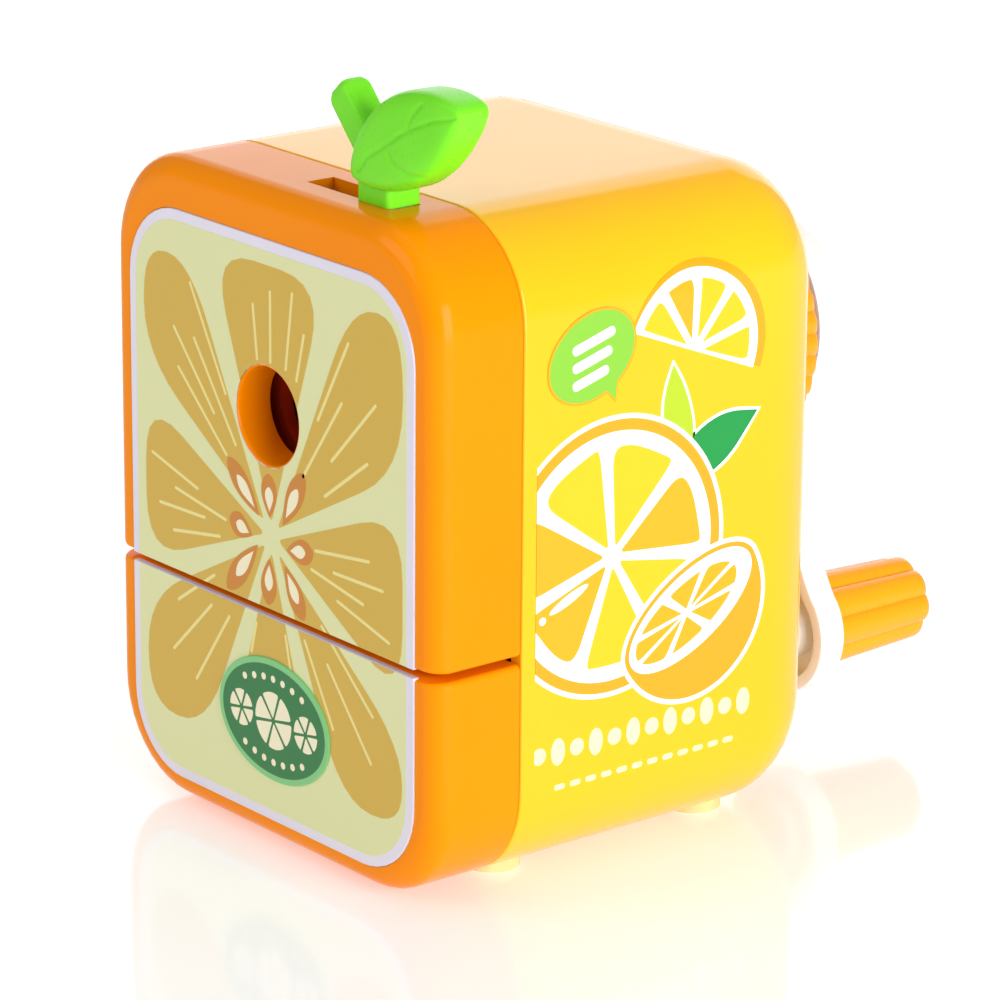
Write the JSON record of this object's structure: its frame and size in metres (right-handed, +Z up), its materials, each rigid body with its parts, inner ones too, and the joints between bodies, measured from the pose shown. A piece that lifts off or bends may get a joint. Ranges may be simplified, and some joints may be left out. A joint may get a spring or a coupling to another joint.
{
  "type": "hand crank pencil sharpener",
  "caption": "Desk pencil sharpener with a pull-out feed carriage, lever-worked clamp, hand crank, inclined helical cutter, point adjuster and shavings drawer.",
  "frame": {"origin": "on the surface it stands on, under the middle of its overall box", "axes": "+Z up, front with the pencil hole towards -Y, crank towards +Y, +X the side to the right of someone facing the front"},
  "size_m": [0.064, 0.098, 0.0977],
  "materials": {
    "yellow_shell": "moulded, glossy",
    "orange_shell": "moulded, glossy",
    "cream_panel": "moulded, glossy",
    "leaf_green": "moulded, glossy",
    "badge_green": "moulded, glossy",
    "white_plastic": "moulded, glossy",
    "frame_plastic": "moulded, satin",
    "steel": "turned",
    "cutter_steel": "hardened and milled",
    "spring_steel": "drawn wire",
    "brass": "turned",
    "foot_rubber": "moulded"
  },
  "bodies": {
    "housing": {"rear_housing": "yellow_shell", "inner_frame": "frame_plastic", "frame_screws": "steel", "rubber_feet": "foot_rubber", "rear_bush": "brass", "ring_gear": "steel", "feed_spring_left": "spring_steel", "feed_spring_right": "spring_steel"},
    "carriage": {"front_cover": "orange_shell", "upper_face_panel": "cream_panel", "carriage_plate": "frame_plastic", "guide_rod_left": "steel", "guide_rod_right": "steel", "rod_collars": "steel", "clamp_spring": "spring_steel"},
    "lever": {"leaf_cap": "leaf_green", "lever_plate": "white_plastic"},
    "ring": {"clamp_ring": "orange_shell"},
    "jaw_1": {"clamp_jaw_1": "white_plastic"},
    "jaw_2": {"clamp_jaw_2": "white_plastic"},
    "jaw_3": {"clamp_jaw_3": "white_plastic"},
    "rotor": {"cutter_carrier": "white_plastic", "drive_shaft": "steel", "cutter_pin": "steel", "crank_arm": "white_plastic", "crank_screw": "steel", "handle_pin": "steel"},
    "cutter": {"helical_cutter": "cutter_steel", "cutter_pinion": "brass"},
    "stop": {"point_stop": "steel"},
    "nut": {"adjuster_nut": "brass"},
    "knob": {"adjuster_knob": "orange_shell"},
    "handle": {"handle_grip": "orange_shell", "handle_cap": "orange_shell"},
    "drawer": {"drawer_bin": "white_plastic", "drawer_front": "orange_shell", "lower_face_panel": "cream_panel", "drawer_badge": "badge_green"}
  },
  "joints": [
    {"name": "feed_pull", "type": "slide", "parent": "housing", "child": "carriage", "axis": [0, -1, 0], "range_m": [0, 0.0235], "stiffness_N_per_m": 90, "springref_m": -0.02, "deforming": ["feed_spring_left", "feed_spring_right"]},
    {"name": "clamp_lever", "type": "slide", "parent": "carriage", "child": "lever", "axis": [-1, 0, 0], "range_m": [0, 0.01], "stiffness_N_per_m": 120, "springref_m": -0.012, "deforming": ["clamp_spring"]},
    {"name": "ring_turn", "type": "hinge", "parent": "carriage", "child": "ring", "pos_m": [0, -0.0412, 0.0544], "axis": [0, -1, 0], "range_deg": [0, 46]},
    {"name": "jaw_1_slide", "type": "slide", "parent": "carriage", "child": "jaw_1", "axis": [0, 0, -1], "range_m": [0, 0.00262]},
    {"name": "jaw_2_slide", "type": "slide", "parent": "carriage", "child": "jaw_2", "axis": [0.866, 0, 0.5], "range_m": [0, 0.00262]},
    {"name": "jaw_3_slide", "type": "slide", "parent": "carriage", "child": "jaw_3", "axis": [-0.866, 0, 0.5], "range_m": [0, 0.00262]},
    {"name": "crank_turn", "type": "hinge", "parent": "housing", "child": "rotor", "pos_m": [0, 0.0115, 0.0544], "axis": [0, 1, 0], "continuous": true},
    {"name": "cutter_spin", "type": "hinge", "parent": "rotor", "child": "cutter", "pos_m": [0, -0.0277, 0.0649], "axis": [0, 0.9839, -0.1788], "continuous": true},
    {"name": "handle_spin", "type": "hinge", "parent": "rotor", "child": "handle", "pos_m": [0.0072, 0.0395, 0.0139], "axis": [0, 1, 0], "continuous": true},
    {"name": "adjuster_turn", "type": "hinge", "parent": "housing", "child": "knob", "pos_m": [0, 0.0195, 0.0544], "axis": [0, 1, 0], "range_deg": [-90, 90]},
    {"name": "nut_slide", "type": "slide", "parent": "housing", "child": "nut", "axis": [0, 1, 0], "range_m": [-0.00082, 0.00082]},
    {"name": "stop_slide", "type": "slide", "parent": "rotor", "child": "stop", "axis": [0, 1, 0], "range_m": [-0.00082, 0.00082]},
    {"name": "drawer_slide", "type": "slide", "parent": "housing", "child": "drawer", "axis": [0, -1, 0], "range_m": [0, 0.042]}
  ],
  "couplings": [
    {"joint": "ring_turn", "follows": "clamp_lever", "rad_per_m": 78.958},
    {"joint": "jaw_1_slide", "follows": "clamp_lever", "ratio": 0.26},
    {"joint": "jaw_2_slide", "follows": "clamp_lever", "ratio": 0.26},
    {"joint": "jaw_3_slide", "follows": "clamp_lever", "ratio": 0.26},
    {"joint": "cutter_spin", "follows": "crank_turn", "ratio": -2.9091},
    {"joint": "nut_slide", "follows": "adjuster_turn", "m_per_rad": 0.0005093},
    {"joint": "stop_slide", "follows": "adjuster_turn", "m_per_rad": 0.0005093}
  ]
}
